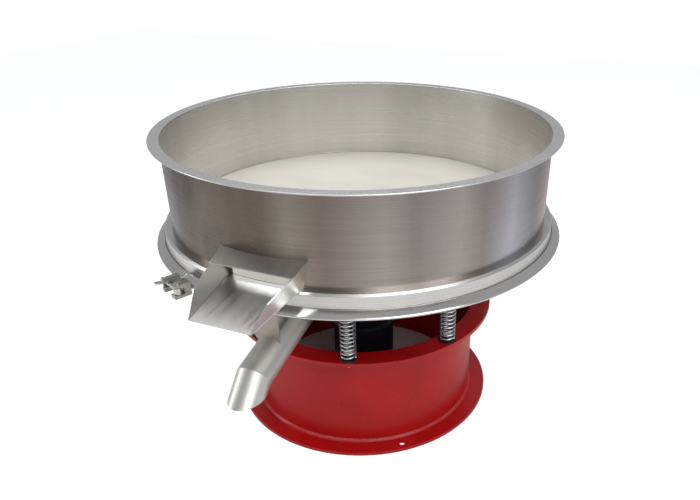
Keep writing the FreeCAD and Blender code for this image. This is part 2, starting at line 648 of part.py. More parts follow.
def upper_frame():
    """Rim, wall with its gate, and the ledge, skirt and lip below."""
    rim = new_body("upper_rim")
    tube(rim, "rim_outer_r", "wall_r - wall_sheet", "top_height - rim_plate", "top_height")

    wall = new_body("sieve_wall")
    tube(wall, "wall_r", "wall_r - wall_sheet", "ledge_height", "top_height - rim_plate")
    gate = new_sketch(wall, "XZ_Plane")
    outline(gate, [("-gate_half", "chute_floor_top"), ("gate_half", "chute_floor_top"),
                   ("gate_half", "gate_top"), ("-gate_half", "gate_top")])
    solid(wall, "Pocket", gate, "wall_r + 20", reverse=True)

    step = new_body("frame_skirt")
    turned(step, [
        ("wall_r - wall_sheet", "ledge_height"),
        ("ledge_r", "ledge_height"),
        ("skirt_r", "skirt_top"),
        ("lip_foot_r", "lip_top_high + lip_sheet + " + LIP_RUN),
        ("lip_r", "lip_top_high + lip_sheet"),
        ("lip_r", "lip_top_high"),
        ("lip_foot_r - skirt_sheet", "lip_top_high + (lip_r - lip_foot_r + skirt_sheet) * lip_slope"),
        ("skirt_r - skirt_sheet", "skirt_top - 1.1"),
        ("ledge_r - 1.1", "ledge_height - skirt_sheet"),
        ("wall_r - wall_sheet", "ledge_height - skirt_sheet"),
    ])


def screen():
    """Channel frame, the mesh stretched over it and the gasket round its flange."""
    frame = new_body("screen_frame")
    half = "lip_gap / 2"
    turned(frame, [
        ("screen_bore", "joint_height - " + half),
        ("screen_flange_r", "joint_height - " + half),
        ("screen_flange_r", "joint_height + " + half),
        ("screen_bore + screen_leg", "joint_height + " + half),
        ("screen_bore + screen_leg", "mesh_plane - screen_leg"),
        ("screen_top_r", "mesh_plane - screen_leg"),
        ("screen_top_r", "mesh_plane"),
        ("screen_bore", "mesh_plane"),
    ])

    mesh = new_body("screen_mesh")
    disc(mesh, "screen_top_r", "mesh_plane", "mesh_plane + mesh_sheet")

    gasket = new_body("screen_gasket")
    inner = "lip_foot_r - lip_sheet"
    edge = "lip_r - 1"
    turned(gasket, [
        (inner, "joint_height + " + half),
        ("screen_flange_r", "joint_height + " + half),
        ("screen_flange_r", "joint_height - " + half),
        (inner, "joint_height - " + half),
        (inner, "lip_top_low - (lip_r - (%s)) * lip_slope" % inner),
        (edge, "lip_top_low - (lip_r - (%s)) * lip_slope" % edge),
        (edge, "lip_top_high + (lip_r - (%s)) * lip_slope" % edge),
        (inner, "lip_top_high + (lip_r - (%s)) * lip_slope" % inner),
    ])


def clamp_ring():
    """Split V ring that draws the two lips together."""
    body = new_body("clamp_ring", "closure_phase")
    reach = "(lip_r - clamp_foot_r)"
    lip = "lip_gap / 2 + lip_sheet"
    wide = "%s + %s * lip_slope" % (lip, reach)
    narrow = "%s - 2 * lip_slope" % lip
    upper = [("clamp_foot_r", wide), ("lip_r + 2", narrow), ("clamp_nose_r - clamp_sheet", "lip_gap / 2")]
    outer = [("clamp_nose_r", "lip_gap / 2"), ("lip_r + 2", narrow + " + clamp_sheet"),
             ("clamp_foot_r", wide + " + clamp_sheet")]
    corners = [(r, "joint_height + " + z) for r, z in upper]
    corners += [(r, "joint_height - (%s)" % z) for r, z in reversed(upper)]
    corners += [(r, "joint_height - (%s)" % z) for r, z in reversed(outer)]
    corners += [(r, "joint_height + " + z) for r, z in outer]
    turned(body, corners)
    cut = new_sketch(body, "XY_Plane", "joint_height + 40")
    far = "clamp_nose_r + 30"
    side = "(%s) * tan(clamp_gap * 0.5 deg)" % far
    outline(cut, [("0", "0"), (far, "-" + side), (far, side)])
    solid(body, "Pocket", cut, "80")


def closure():
    """Lugs, pivot pin, swinging bolt, washer and wing nut at the clamp ring's ends."""
    low = "joint_height - lug_rise / 2"
    high = "joint_height + lug_rise / 2"

    ears = new_body("pivot_lug", "closure_phase")
    sketch = new_sketch(ears, "XY_Plane", low)
    outline(sketch, [("clamp_nose_r - 5", "pivot_side - lug_half"), ("lug_out", "pivot_side - lug_half"),
                     ("lug_out", "pivot_side + lug_half"), ("clamp_nose_r - 5", "pivot_side + lug_half")])
    solid(ears, "Pad", sketch, "lug_rise")
    sketch = new_sketch(ears, "XY_Plane", "joint_height + lug_rise / 2 - ear_plate")
    outline(sketch, [("closure_r - eye_r - 2", "pivot_side - 20"), ("lug_out + 10", "pivot_side - 20"),
                     ("lug_out + 10", "pivot_side + 20"), ("closure_r - eye_r - 2", "pivot_side + 20")])
    solid(ears, "Pocket", sketch, "lug_rise - 2 * ear_plate")
    disc(ears, "clamp_nose_r", low, high, kind="Pocket")
    disc(ears, "pivot_pin_r", low, high, "closure_r", "pivot_side", kind="Pocket")

    pin = new_body("pivot_pin", "closure_phase")
    disc(pin, "pivot_pin_r", low, high, "closure_r", "pivot_side")
    disc(pin, "pivot_pin_r + pin_head", high, high + " + pin_head", "closure_r", "pivot_side")

    fork = new_body("fork_lug", "closure_phase")
    sketch = new_sketch(fork, "XY_Plane", low)
    relief = "pivot_side - sqrt((pivot_side + fork_face)^2 - (lug_out - closure_r)^2)"
    outline(sketch, [("clamp_nose_r - 5", "-fork_face"), ("closure_r", "-fork_face"), ("lug_out", relief),
                     ("lug_out", "-fork_back"), ("clamp_nose_r - 5", "-fork_back")])
    solid(fork, "Pad", sketch, "lug_rise")
    sketch = new_sketch(fork, "XZ_Plane")
    outline(sketch, [("closure_r - fork_slot", "joint_height - fork_slot"),
                     ("lug_out + 10", "joint_height - fork_slot"),
                     ("lug_out + 10", "joint_height + fork_slot"),
                     ("closure_r - fork_slot", "joint_height + fork_slot")])
    solid(fork, "Pocket", sketch, "2 * fork_face + 20", both=True)
    disc(fork, "clamp_nose_r", low, high, kind="Pocket")

    bolt = new_body("closure_bolt", "closure_phase")
    eye_foot = "joint_height - eye_rise / 2"
    eye_top = "joint_height + eye_rise / 2"
    disc(bolt, "eye_r", eye_foot, eye_top, "closure_r", "pivot_side")
    sketch = new_sketch(bolt, "XZ_Plane", "-pivot_side + eye_r / 2")
    circle(sketch, "closure_bolt_r", "closure_r", "joint_height")
    solid(bolt, "Pad", sketch, "pivot_side - eye_r / 2 + bolt_tail")
    disc(bolt, "pivot_pin_r + running_fit", eye_foot, eye_top, "closure_r", "pivot_side", kind="Pocket")

    washer = new_body("closure_washer", "closure_phase")
    sketch = new_sketch(washer, "XZ_Plane", "fork_face + nut_face_gap")
    circle(sketch, "washer_r", "closure_r", "joint_height")
    circle(sketch, "closure_bolt_r + running_fit", "closure_r", "joint_height")
    solid(washer, "Pad", sketch, "washer_plate")

    nut = new_body("wing_nut", "closure_phase")
    face = "fork_face + nut_face_gap + washer_plate"
    sketch = new_sketch(nut, "XZ_Plane", face)
    circle(sketch, "wing_hub_r", "closure_r", "joint_height")
    solid(nut, "Pad", sketch, "wing_hub_length")
    for side in ("-", ""):
        sketch = new_sketch(nut, "XY_Plane", "joint_height - wing_plate / 2")
        root = "wing_hub_r - 3"
        corners = [(root, "1.5"), ("wing_reach * 0.6", "wing_hub_length * 0.25"),
                   ("wing_reach", "wing_hub_length * 0.8"), ("wing_reach", "wing_hub_length * 1.4"),
                   ("wing_reach * 0.7", "wing_hub_length * 1.3"), (root, "wing_hub_length - 1")]
        outline(sketch, [("closure_r + (%s1) * (%s)" % (side, reach), "-(%s) - (%s)" % (face, back))
                         for reach, back in corners])
        solid(nut, "Pad", sketch, "wing_plate")
    sketch = new_sketch(nut, "XZ_Plane", face)
    circle(sketch, "closure_bolt_r + running_fit", "closure_r", "joint_height")
    solid(nut, "Pocket", sketch, "wing_hub_length", reverse=True)


# ---------------------------------------------------------------- oversize chute

def chute():
    """Folded floor, two leaning cheeks and a cover plate, welded to the sieve wall."""
    floor = new_body("chute_floor")
    sketch = new_sketch(floor, "YZ_Plane")
    top = [("-(wall_r - 40)", "chute_floor_top"), ("-(ledge_r + floor_flat)", "chute_floor_top"),
           ("-chute_fold", "chute_fold_top"), ("-chute_reach", "chute_lip_top")]
    outline(sketch, top + [(a, "%s - chute_sheet" % b) for a, b in reversed(top)])
    solid(floor, "Pad", sketch, "2 * (chute_root_half + chute_sheet)", both=True)
    for side in ("", "-"):
        trim = new_sketch(floor, "XY_Plane", "chute_floor_top + 20")
        root = "%s(chute_root_half + chute_sheet)" % side
        lip = "%s(chute_lip_half + chute_sheet)" % side
        far = "%s(chute_root_half + 60)" % side
        outline(trim, [(root, "-wall_r"), (lip, "-chute_reach"), (lip, "-chute_reach - 10"),
                       (far, "-chute_reach - 10"), (far, "-wall_r + 60"), (root, "-wall_r + 60")])
        solid(floor, "Pocket", trim, "100")
    disc(floor, "wall_r", "chute_lip_top - 40", "chute_floor_top + 20", kind="Pocket")

    cover = new_body("chute_cover")
    sketch = new_sketch(cover, "YZ_Plane")
    back = "wall_r - 40"
    top = [("-(%s)" % back, "cover_root_top + (wall_r - (%s)) * cover_slope" % back),
           ("-cover_reach", "cover_root_top - (cover_reach - wall_r) * cover_slope")]
    outline(sketch, top + [(a, "%s - chute_sheet" % b) for a, b in reversed(top)])
    solid(cover, "Pad", sketch, "2 * cover_root_half", both=True)
    for side in ("", "-"):
        trim = new_sketch(cover, "XY_Plane", "cover_root_top + 40")
        far = "%s(cover_root_half + 20)" % side
        outline(trim, [("%scover_root_half" % side, "-wall_r + 15"),
                       ("%scover_edge_half" % side, "-cover_reach"),
                       ("%scover_edge_half" % side, "-cover_reach - 10"),
                       (far, "-cover_reach - 10"), (far, "-wall_r + 15")])
        solid(cover, "Pocket", trim, "120")
    disc(cover, "wall_r", "cover_root_top - 60", "cover_root_top + 40", kind="Pocket")


def cheek(label, side):
    """One leaning side wall; side is +1 for the +X wall and -1 for the other."""
    lean = "tan(chute_lean * 1 deg)"
    narrowing = "chute_root_half - chute_lip_half - (chute_floor_top - chute_lip_top) * %s" % lean
    turn_in = "atan((%s) / (chute_reach - wall_r))" % narrowing
    body = new_body(label)
    heading = "270 deg - (%s)" % turn_in if side > 0 else "270 deg + (%s)" % turn_in
    body.Placement = Placement(Vector(), Rotation(Vector(0, 0, 1), value(heading)))
    bind(body, "Placement.Rotation.Angle", heading)
    bind(body, "Placement.Base.x", "%d * chute_root_half" % side)
    bind(body, "Placement.Base.y", "-wall_r")
    bind(body, "Placement.Base.z", "chute_floor_top + cheek_gap + chute_sheet * sin(chute_lean * 1 deg)")
    sketch = new_sketch(body, "XZ_Plane")
    sketch.AttachmentOffset = Placement(Vector(), Rotation(Vector(-side, 0, 0), value("chute_lean")))
    bind(sketch, "AttachmentOffset.Rotation.Angle", "chute_lean")
    up = "/ cos(chute_lean * 1 deg)"
    along = "/ cos(%s)" % turn_in
    root = "(cover_rise - chute_sheet - 3 * cheek_gap - chute_sheet * sin(chute_lean * 1 deg))"
    behind = "30"
    outline(sketch, [
        ("-" + behind, "0"),
        ("(ledge_r + floor_flat - wall_r) %s" % along, "0"),
        ("(chute_fold - wall_r) %s" % along, "(chute_fold_top - chute_floor_top) %s" % up),
        ("(chute_reach - wall_r - 1) %s" % along, "(chute_lip_top - chute_floor_top + 0.2) %s" % up),
        ("(chute_reach - wall_r - 1) %s" % along, "(chute_lip_top - chute_floor_top + 3) %s" % up),
        ("cheek_knee_reach %s" % along, "(%s - cover_slope * cheek_knee_reach) %s" % (root, up)),
        ("-" + behind, "(%s + cover_slope * %s) %s" % (root, behind, up)),
    ])
    solid(body, "Pad", sketch, "chute_sheet", reverse=(side > 0))
    across = "(chute_root_half * sin(%s) - wall_r * cos(%s))" % (turn_in, turn_in)
    beside = "%d * (-(chute_root_half) * cos(%s) - wall_r * sin(%s))" % (side, turn_in, turn_in)
    disc(body, "wall_r", "-20", "100", across, beside, kind="Pocket")


# ---------------------------------------------------------------- motor

def motor():
    """Vertical vibration motor: housing, shields, bearings, wound core and turning parts."""
    housing = new_body("motor_housing")
    tube(housing, "stator_r", "stator_r - stator_wall", "stator_foot", "shield_foot")

    upper = new_body("upper_end_shield")
    flange_foot = "well_foot - motor_flange_plate"
    turned(upper, [
        ("bearing_r", "shield_foot"),
        ("shield_r - 3", "shield_foot"),
        ("shield_r", "shield_foot + 3"),
        ("shield_r", "shield_top - 5"),
        ("shield_r - 5", "shield_top"),
        ("neck_r", "shield_top"),
        ("neck_r", flange_foot),
        ("motor_flange_r", flange_foot),
        ("motor_flange_r", "well_foot"),
        ("neck_r - neck_wall", "well_foot"),
        ("neck_r - neck_wall", "shield_foot + bearing_width + shaft_room"),
        ("shaft_r + shaft_room", "shield_foot + bearing_width + shaft_room"),
        ("shaft_r + shaft_room", "shield_foot + bearing_width"),
        ("bearing_r", "shield_foot + bearing_width"),
    ])
    hole = disc(upper, "stud_r + stud_fit", flange_foot, "well_foot", "motor_bolt_circle", kind="Pocket")
    around(upper, [hole], "motor_bolt_count")

    lower = new_body("lower_end_shield")
    seat = "stator_foot - shield_web"
    turned(lower, [
        ("bearing_r", seat),
        ("bearing_r", seat + " + bearing_width"),
        ("bearing_r + shield_web", seat + " + bearing_width"),
        ("bearing_r + shield_web", "stator_foot"),
        ("stator_r", "stator_foot"),
        ("stator_r", seat),
        ("stator_r - 5", seat + " - 4"),
        ("shaft_r + shaft_room", seat + " - 4"),
        ("shaft_r + shaft_room", seat),
    ])

    ring = new_body("upper_bearing")
    tube(ring, "bearing_r", "shaft_r + running_fit", "shield_foot", "shield_foot + bearing_width")
    ring = new_body("lower_bearing")
    tube(ring, "bearing_r", "shaft_r + running_fit", seat, seat + " + bearing_width")

    core = new_body("stator_core")
    tube(core, "stator_r - stator_wall", "rotor_r + air_gap", "core_foot", "core_top")

    shaft = new_body("motor_shaft")
    turned(shaft, [("0", "shaft_foot"), ("shaft_r - 1", "shaft_foot"), ("shaft_r", "shaft_foot + 1"),
                   ("shaft_r", "shaft_top - 1"), ("shaft_r - 1", "shaft_top"), ("0", "shaft_top")])

    rotor = new_body("rotor_core")
    tube(rotor, "rotor_r", "shaft_r", "core_foot", "core_top")

    weight("upper_weight", "upper_weight_foot", "upper_weight_depth", "weight_r", "shaft_r")
    weight("lower_weight", "lower_weight_foot", "lower_weight_depth", "lower_weight_r", "shaft_r")
    weight("lead_weight", "lower_weight_foot - weight_gap - lower_weight_depth", "lower_weight_depth",
           "lower_weight_r", "shaft_r + running_fit")

    bolts = new_body("motor_bolts")
    bolt_end = "well_foot + motor_plate + nut_rise + stud_end"
    head_foot = flange_foot + " - stud_head_rise"
    head = hex_disc(bolts, "stud_head_half", head_foot, flange_foot, "motor_bolt_circle")
    shank = disc(bolts, "stud_r", flange_foot, bolt_end, "motor_bolt_circle")
    around(bolts, [head, shank], "motor_bolt_count")
    nuts = new_body("motor_nuts")
    foot = "well_foot + motor_plate"
    nut = hex_disc(nuts, "stud_head_half", foot, foot + " + nut_rise", "motor_bolt_circle")
    bore = disc(nuts, "stud_r + thread_fit", foot, foot + " + nut_rise", "motor_bolt_circle", kind="Pocket")
    around(nuts, [nut, bore], "motor_bolt_count")

    gland = new_body("cable_gland")
    sketch = new_sketch(gland, "XZ_Plane", "-(stator_r + gland_length)")
    circle(sketch, "gland_r", "0", "stator_foot + gland_rise")
    solid(gland, "Pad", sketch, "gland_length + 4")
    disc(gland, "stator_r", "stator_foot", "shield_foot", kind="Pocket")
    sketch = new_sketch(gland, "XZ_Plane", "-(stator_r + gland_length)")
    circle(sketch, "gland_bore", "0", "stator_foot + gland_rise")
    solid(gland, "Pocket", sketch, "gland_length", reverse=True)


def weight(label, foot, depth, radius, bore):
    """A half-round eccentric weight with a full hub, heavy towards +X."""
    body = new_body(label)
    disc(body, radius, foot, "%s + %s" % (foot, depth))
    half = new_sketch(body, "XY_Plane", "%s + %s + 5" % (foot, depth))
    far = radius + " + 10"
    outline(half, [("0", "-(%s)" % far), ("0", far), ("-(%s)" % far, far), ("-(%s)" % far, "-(%s)" % far)])
    solid(body, "Pocket", half, depth + " + 10")
    disc(body, "weight_hub_r", foot, "%s + %s" % (foot, depth))
    disc(body, bore, foot, "%s + %s" % (foot, depth), kind="Pocket")


# ---------------------------------------------------------------- build, check, write

def check():
    """Stop if any object failed to build or any node isn't a sound solid."""
    for thing in DOC.Objects:
        if "Invalid" in thing.State or "Error" in thing.State:
            raise RuntimeError("failed: %s %s" % (thing.Label, thing.State))
    for node in NODES:
        shape = node.Shape
        if shape.isNull() or not shape.isValid() or not shape.Solids:
            raise RuntimeError("unsound: %s" % node.Label)
        print("%-22s %2d solid %10.1f mm3" % (node.Label, len(shape.Solids), shape.Volume))


def write():
    os.makedirs("parts", exist_ok=True)
    for node in NODES:
        node.Shape.exportStep("parts/%s.step" % node.Label)


fill_sheet()
base()
spring_mounts()
springs()
table()
pan()
spout()
upper_frame()
screen()
clamp_ring()
closure()
chute()
cheek("chute_cheek_right", 1)
cheek("chute_cheek_left", -1)
motor()
DOC.recompute()
check()
write()
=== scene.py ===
# %% [markdown]
# # A round vibrating sieve
# This lesson dresses the imported machine: a red sprung base, a motor, a stainless sieve with an oversize
# chute and an undersize spout. The imported solids give many sizes and places; the rest are given as
# numbers. What catches the light in large clean sweeps, such as the rolled walls, is made again with finer
# steps; the rest keeps its solid and gets a finish. Everything is in metres, +Z is up and both outlets
# point along -Y.

# %% Load the frame
import math
import bpy
import bmesh
from mathutils import Matrix, Vector


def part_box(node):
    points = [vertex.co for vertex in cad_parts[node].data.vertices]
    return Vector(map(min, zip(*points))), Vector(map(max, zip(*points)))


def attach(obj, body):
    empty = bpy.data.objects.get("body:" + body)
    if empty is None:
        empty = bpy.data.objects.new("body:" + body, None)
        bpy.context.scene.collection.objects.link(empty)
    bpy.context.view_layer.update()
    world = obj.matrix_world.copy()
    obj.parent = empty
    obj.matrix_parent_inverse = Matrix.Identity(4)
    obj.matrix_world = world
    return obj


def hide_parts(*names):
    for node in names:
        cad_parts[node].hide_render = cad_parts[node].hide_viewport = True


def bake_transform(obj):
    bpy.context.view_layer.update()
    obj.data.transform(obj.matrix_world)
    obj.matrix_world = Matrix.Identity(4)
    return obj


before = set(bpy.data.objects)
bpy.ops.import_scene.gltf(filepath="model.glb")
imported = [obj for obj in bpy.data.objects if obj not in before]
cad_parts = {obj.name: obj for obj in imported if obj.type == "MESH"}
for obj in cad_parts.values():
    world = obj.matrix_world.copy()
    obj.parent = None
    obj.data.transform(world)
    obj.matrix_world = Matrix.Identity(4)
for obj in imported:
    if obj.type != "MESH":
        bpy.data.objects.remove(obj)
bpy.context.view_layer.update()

# %% [markdown]
# ## Measuring from the solids
# Many places below come from the box of an imported node, so the looks follow the solids if a size changes;
# others are given as numbers.
# A ring's outer radius is the reach of its box along +X, where nothing else of that node sticks out.


# %% Helpers that read the imported solids
def low(node):
    return Vector(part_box(node)[0])


def high(node):
    return Vector(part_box(node)[1])


def radius(node):
    return high(node).x


FLOOR = 0.0
WALL_R = 0.500
WALL_INNER_R = 0.498
RIM_TOP = high("upper_rim").z
LEDGE = low("sieve_wall").z
print("rim top", round(RIM_TOP, 4), "ledge", round(LEDGE, 4))
print("base flange radius", round(radius("base_floor_flange"), 4))


# %% [markdown]
# ## Building materials from nodes
# A finish is a small tree of nodes that ends in one Principled shader. The helpers below keep each tree
# to a few readable lines. Patterns read Object coordinates: every node sits at the origin, so these are
# metres in the machine's own frame and the pattern stays put when the view changes.

# %% Node helpers
def linear(red, green, blue):
    """A colour written 0 to 255, as light."""
    return tuple((c / 255.0) ** 2.2 for c in (red, green, blue)) + (1.0,)


class Finish:
    """One material and short ways to add nodes to it."""

    def __init__(self, name, colour, roughness, metallic=0.0, coat=0.0, coat_roughness=0.1):
        self.material = bpy.data.materials.new(name)
        self.material.use_nodes = True
        self.tree = self.material.node_tree
        self.shader = self.tree.nodes["Principled BSDF"]
        self.shader.inputs["Base Color"].default_value = colour
        self.shader.inputs["Roughness"].default_value = roughness
        self.shader.inputs["Metallic"].default_value = metallic
        self.shader.inputs["Coat Weight"].default_value = coat
        self.shader.inputs["Coat Roughness"].default_value = coat_roughness
        self.place = self.node("ShaderNodeTexCoord").outputs["Object"]

    def node(self, kind, **settings):
        made = self.tree.nodes.new(kind)
        for key, setting in settings.items():
            setattr(made, key, setting)
        return made

    def link(self, source, target):
        self.tree.links.new(source, target)

    def put(self, made, **inputs):
        """Fill a node's sockets by name: a socket is linked, anything else is set."""
        for key, given in inputs.items():
            socket = made.inputs[key.replace("_", " ")]
            if isinstance(given, bpy.types.NodeSocket):
                self.link(given, socket)
            else:
                socket.default_value = given
        return made

    def stretched(self, scale, turn=(0, 0, 0), shift=(0, 0, 0)):
        mapping = self.node("ShaderNodeMapping")
        self.link(self.place, mapping.inputs["Vector"])
        mapping.inputs["Scale"].default_value = scale
        mapping.inputs["Rotation"].default_value = turn
        mapping.inputs["Location"].default_value = shift
        return mapping.outputs["Vector"]

    def noise(self, scale, detail=4.0, where=None, rough=0.55):
        made = self.node("ShaderNodeTexNoise")
        self.link(where if where is not None else self.place, made.inputs["Vector"])
        self.put(made, Scale=scale, Detail=detail, Roughness=rough)
        return made.outputs["Fac"]

    def maths(self, operation, first, second=0.0, third=0.0):
        made = self.node("ShaderNodeMath", operation=operation)
        for socket, given in zip(made.inputs, (first, second, third)):
            if isinstance(given, bpy.types.NodeSocket):
                self.link(given, socket)
            else:
                socket.default_value = given
        return made.outputs[0]

    def ramp(self, factor, *stops):
        """A colour ramp; each stop is (position, colour)."""
        made = self.node("ShaderNodeValToRGB")
        self.link(factor, made.inputs["Fac"])
        band = made.color_ramp
        while len(band.elements) < len(stops):
            band.elements.new(1.0)
        for element, (position, colour) in zip(band.elements, stops):
            element.position = position
            element.color = colour
        return made.outputs["Color"]

    def range(self, factor, low_out, high_out, low_in=0.0, high_in=1.0):
        made = self.node("ShaderNodeMapRange")
        self.put(made, Value=factor)
        limits = (("From Min", low_in), ("From Max", high_in), ("To Min", low_out), ("To Max", high_out))
        for key, given in limits:
            made.inputs[key].default_value = given
        return made.outputs["Result"]

    def blend(self, factor, first, second, mode="MIX"):
        made = self.node("ShaderNodeMix", data_type="RGBA", blend_type=mode)
        for socket, given in zip((made.inputs[0], made.inputs[6], made.inputs[7]), (factor, first, second)):
            if isinstance(given, bpy.types.NodeSocket):
                self.link(given, socket)
            else:
                socket.default_value = given
        return made.outputs[2]

    def around(self):
        """0 to 1 once round the machine's axis, from -X over -Y."""
        made = self.node("ShaderNodeTexGradient", gradient_type="RADIAL")
        self.link(self.place, made.inputs["Vector"])
        return made.outputs["Fac"]

    def bump(self, height, strength, distance):
        made = self.node("ShaderNodeBump")
        self.put(made, Height=height, Strength=strength, Distance=distance)
        self.link(made.outputs["Normal"], self.shader.inputs["Normal"])
        return made

    def colour(self, source):
        self.link(source, self.shader.inputs["Base Color"])

    def roughness(self, source):
        self.link(source, self.shader.inputs["Roughness"])


def wear(node, finish):
    """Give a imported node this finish."""
    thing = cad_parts[node]
    thing.data.materials.clear()
    thing.data.materials.append(finish.material)


print("helpers ready")


# %% [markdown]
# ## Stainless sheet
# The sieve is rolled from stainless sheet, polished in one direction. The polishing lines run round the
# wall, so they are noise squeezed along Z. The slow light and dark bands are painted reflections in the
# colour: they run up the wall and change only with the direction round the axis.

# %% Stainless finishes
def stainless(name, colour, roughness, grain=(3, 3, 420), painted_reflection_share=0.25, clouds=0.12):
    """Directional polish: fine lines along one way, slow bands of painted reflection and faint clouds."""
    made = Finish(name, colour, roughness, metallic=1.0)
    lines = made.noise(1.0, 6.0, made.stretched(grain))
    slow = made.noise(5.0, 3.0, made.stretched((1, 1, 0.12)))
    cloud = made.noise(16.0, 4.0)
    dark = tuple(c * 0.55 for c in colour[:3]) + (1.0,)
    # Painted reflection: slow light and dark bands that change only with the direction round the axis.
    tone = made.blend(made.range(slow, 0.0, 1.0, 0.38, 0.62), dark, colour)
    tone = made.blend(painted_reflection_share, colour, tone)
    tone = made.blend(made.range(cloud, 0.0, clouds), tone, (1, 1, 1, 1), "SOFT_LIGHT")
    tone = made.blend(made.range(lines, 0.0, 0.08, 0.35, 0.7), tone, (0.25, 0.24, 0.23, 1), "MULTIPLY")
    made.colour(tone)
    made.roughness(made.range(lines, roughness * 0.8, roughness * 1.3, 0.3, 0.7))
    made.bump(lines, 0.12, 0.0004)
    return made


steel_inner = stainless("inner_wall_polish", linear(214, 212, 208), 0.30, painted_reflection_share=0.35)
steel_rim = stainless("rim_polish", linear(222, 220, 216), 0.22, grain=(200, 200, 40), painted_reflection_share=0.2)
steel_clamp = stainless("clamp_ring_polish", linear(214, 212, 208), 0.16, painted_reflection_share=0.35)
steel_ledge = stainless("ledge_polish", linear(212, 210, 206), 0.26, painted_reflection_share=0.3)
steel_tray = stainless("chute_polish", linear(206, 205, 202), 0.34, grain=(260, 6, 6), painted_reflection_share=0.1, clouds=0.3)
steel_spout = stainless("spout_satin", linear(196, 194, 188), 0.42, grain=(260, 10, 10), painted_reflection_share=0.05,
                        clouds=0.25)
steel_pan = stainless("pan_polish", linear(200, 198, 194), 0.28, painted_reflection_share=0.3)
steel_frame = stainless("screen_frame_polish", linear(205, 204, 200), 0.3)
steel_plate = stainless("hanger_satin", linear(176, 168, 158), 0.45, grain=(10, 10, 220), painted_reflection_share=0.05)
for finish in (steel_inner, steel_rim, steel_clamp, steel_ledge, steel_tray, steel_spout, steel_pan):
    print(finish.material.name, len(finish.tree.nodes), "nodes")


# %% [markdown]
# The outside of the sieve wall carries painted reflections in its colour: dark and brown on the left of
# the outlets, a lighter stripe in front, paler bands to the right and a warm tint at +X. The stops go once
# round the wall from -X over -Y; faint polishing lines and patches lie over them.

# %% Outer wall finish with painted reflections
steel_outer = stainless("outer_wall_polish_and_painted_reflections", linear(196, 192, 186), 0.27, painted_reflection_share=0.0, clouds=0.2)


def band(place, red, green, blue):
    return (place, linear(red, green, blue))


# Painted reflections: the ramp sets light and dark bands by the direction round the axis.
turn = steel_outer.around()
painted_reflection_bands = steel_outer.ramp(
    turn,
    band(0.00, 150, 146, 142), band(0.10, 70, 60, 58), band(0.16, 66, 54, 50),
    band(0.205, 98, 90, 84), band(0.255, 120, 110, 100), band(0.272, 154, 146, 136),
    band(0.295, 128, 116, 110), band(0.335, 156, 150, 146), band(0.357, 130, 124, 122),
    band(0.39, 166, 158, 156), band(0.41, 140, 134, 132), band(0.44, 184, 183, 188),
    band(0.475, 120, 118, 118), band(0.52, 165, 126, 124), band(0.75, 190, 186, 182),
    band(1.00, 150, 146, 142))
grain = steel_outer.noise(1.0, 6.0, steel_outer.stretched((3, 3, 420)))
patches = steel_outer.noise(9.0, 5.0, steel_outer.stretched((1, 1, 0.5)))
GRAIN_SHADE, PATCH_TONE = (0.3, 0.28, 0.26, 1), linear(150, 138, 126)
grain_share = steel_outer.range(grain, 0.0, 0.08, 0.35, 0.7)
patch_share = steel_outer.range(patches, 0.0, 0.35, 0.4, 0.7)
wall_tone = steel_outer.blend(grain_share, painted_reflection_bands, GRAIN_SHADE, "MULTIPLY")
wall_tone = steel_outer.blend(patch_share, wall_tone, PATCH_TONE)
steel_outer.colour(wall_tone)
print("outer wall", len(steel_outer.tree.nodes), "nodes")


# %% [markdown]
# ## Paint, rubber, cast and plated parts
# The base is sprayed red over rolled steel: slow changes of shade, small specks and orange peel under a
# thin, soft clear coat. Small hardware is plated, and the seats are black rubber.

# %% Paint and hardware finishes
def paint(name, colour, roughness, coat, dirt, peel=900.0):
    """Sprayed paint: slow shade changes, specks and orange peel under a thin clear coat."""
    made = Finish(name, colour, roughness, coat=coat, coat_roughness=0.2)
    made.shader.inputs["Specular IOR Level"].default_value = 0.3
    shade = made.noise(7.0, 5.0)
    specks = made.noise(240.0, 2.0)
    tone = made.blend(made.range(shade, 0.0, 0.55, 0.35, 0.75), colour, dirt)
    tone = made.blend(made.range(specks, 0.0, 0.5, 0.68, 0.76), tone, (0.30, 0.26, 0.25, 1))
    made.colour(tone)
    made.roughness(made.range(shade, roughness * 0.8, roughness * 1.35))
    made.bump(made.noise(peel, 2.0), 0.06, 0.0006)
    return made


def plain_metal(name, colour, roughness, scale=350.0, strength=0.15):
    """Plated, cast or machined metal: fine uneven colour and surface."""
    made = Finish(name, colour, roughness, metallic=1.0)
    fine = made.noise(scale, 5.0)
    slow = made.noise(40.0, 3.0)
    dark = tuple(c * 0.45 for c in colour[:3]) + (1.0,)
    made.colour(made.blend(made.range(slow, 0.0, 0.7, 0.45, 0.7), colour, dark))
    made.roughness(made.range(fine, roughness * 0.7, roughness * 1.4, 0.3, 0.7))
    made.bump(fine, strength, 0.0005)
    return made


red_paint = paint("base_red_paint", linear(172, 10, 14), 0.42, 0.2, linear(128, 6, 9))
motor_paint = paint("motor_navy_paint", linear(30, 30, 38), 0.42, 0.1, linear(18, 18, 22))
table_paint = paint("table_black_paint", linear(34, 32, 34), 0.5, 0.1, linear(20, 19, 20))
plated = plain_metal("plated_steel", linear(206, 204, 196), 0.28)
spring_wire = plain_metal("spring_wire", linear(208, 210, 212), 0.2, 500.0, 0.08)
cast_steel = plain_metal("cast_lug_steel", linear(176, 172, 166), 0.38, 600.0, 0.4)
machined = plain_metal("machined_steel", linear(170, 170, 172), 0.25, 700.0, 0.08)
core_steel = plain_metal("laminated_core", linear(96, 92, 88), 0.45, 500.0, 0.3)
weight_iron = plain_metal("cast_weight_iron", linear(70, 70, 74), 0.6, 260.0, 0.6)


def soft_part(name, colour, roughness):
    """Rubber or moulded plastic: nearly plain, with dust and a fine skin."""
    made = Finish(name, colour, roughness)
    dust = made.noise(60.0, 5.0)
    made.colour(made.blend(made.range(dust, 0.0, 0.2, 0.5, 0.8), colour, (0.22, 0.21, 0.20, 1)))
    made.bump(made.noise(900.0, 2.0), 0.1, 0.0003)
    return made


